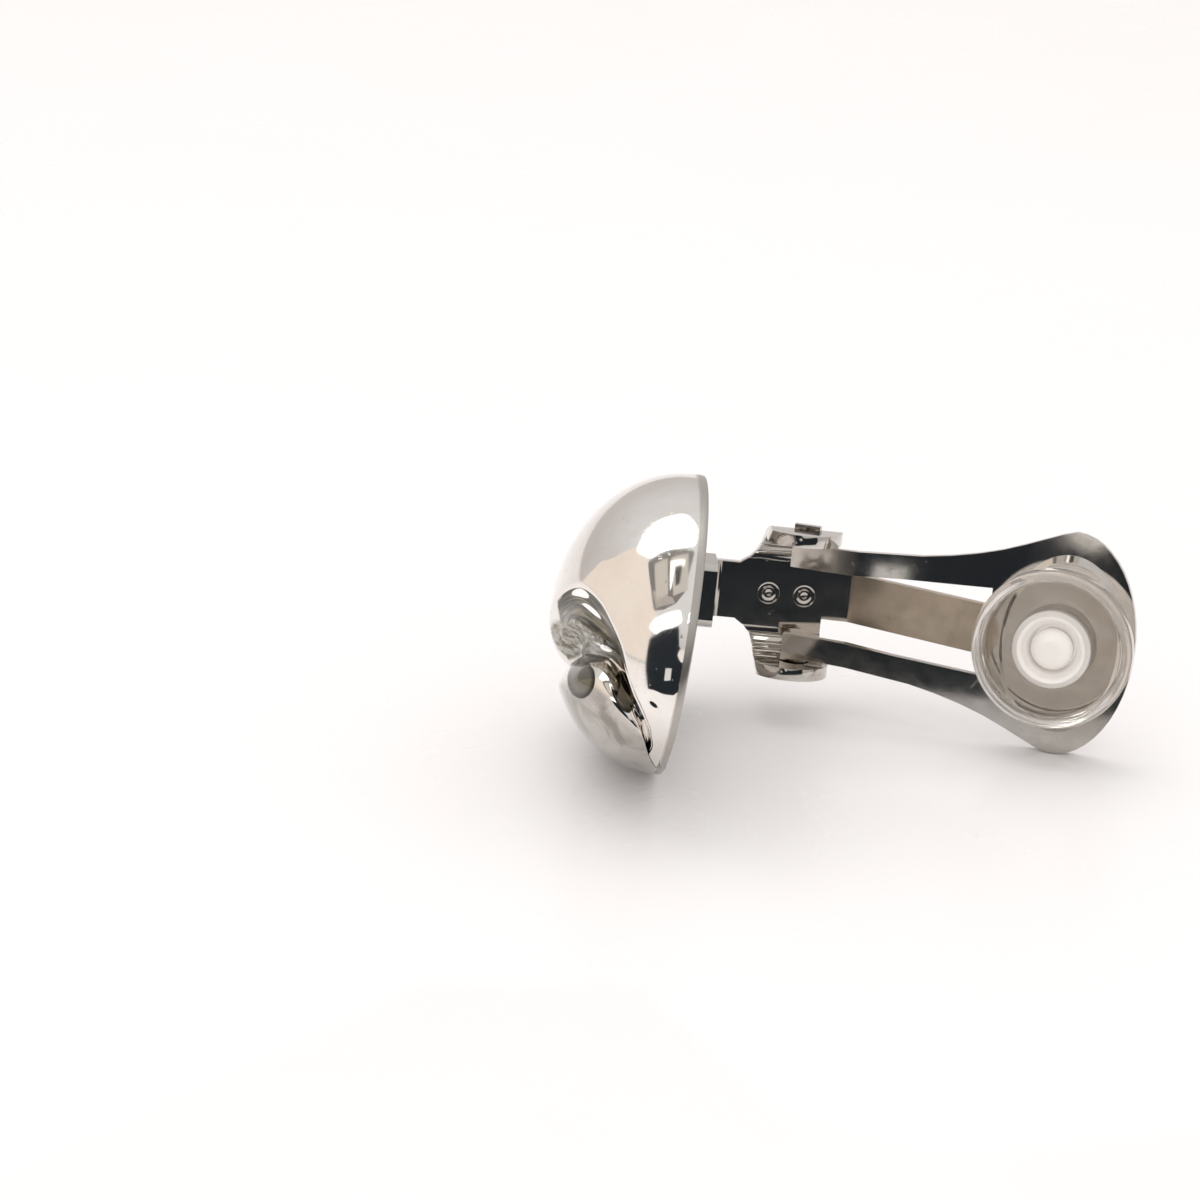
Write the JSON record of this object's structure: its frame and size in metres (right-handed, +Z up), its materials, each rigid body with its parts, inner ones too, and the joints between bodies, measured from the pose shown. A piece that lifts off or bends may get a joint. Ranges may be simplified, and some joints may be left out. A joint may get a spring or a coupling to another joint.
{
  "type": "clip on earring",
  "caption": "Clip on earring with an oval domed front wound with a deep swirl, and a hinged paddle clip with a clear ear pad, shown open.",
  "frame": {"origin": "on the floor under the middle of the box of the open earring as it lies at rest", "axes": "+X from the domed front towards the clip's wide end, +Y away from the viewer's side, +Z up from the floor"},
  "size_m": [0.0328, 0.022, 0.0164],
  "materials": {
    "silver_front": "polished silver tone cast metal, worn in places",
    "silver_clip": "bright plated spring sheet with darkened patches",
    "clear_pad": "clear soft vinyl, slightly clouded"
  },
  "bodies": {
    "front": {"swirl_front": "silver_front"},
    "clip": {"clip_paddle": "silver_clip", "ear_pad": "clear_pad"}
  },
  "joints": [
    {"name": "clip_hinge", "type": "hinge", "parent": "front", "child": "clip", "pos_m": [-0.00215, 0.00724, 0.00658], "axis": [-0.0823, -0.1818, -0.9799], "range_deg": [-8, 82]}
  ]
}
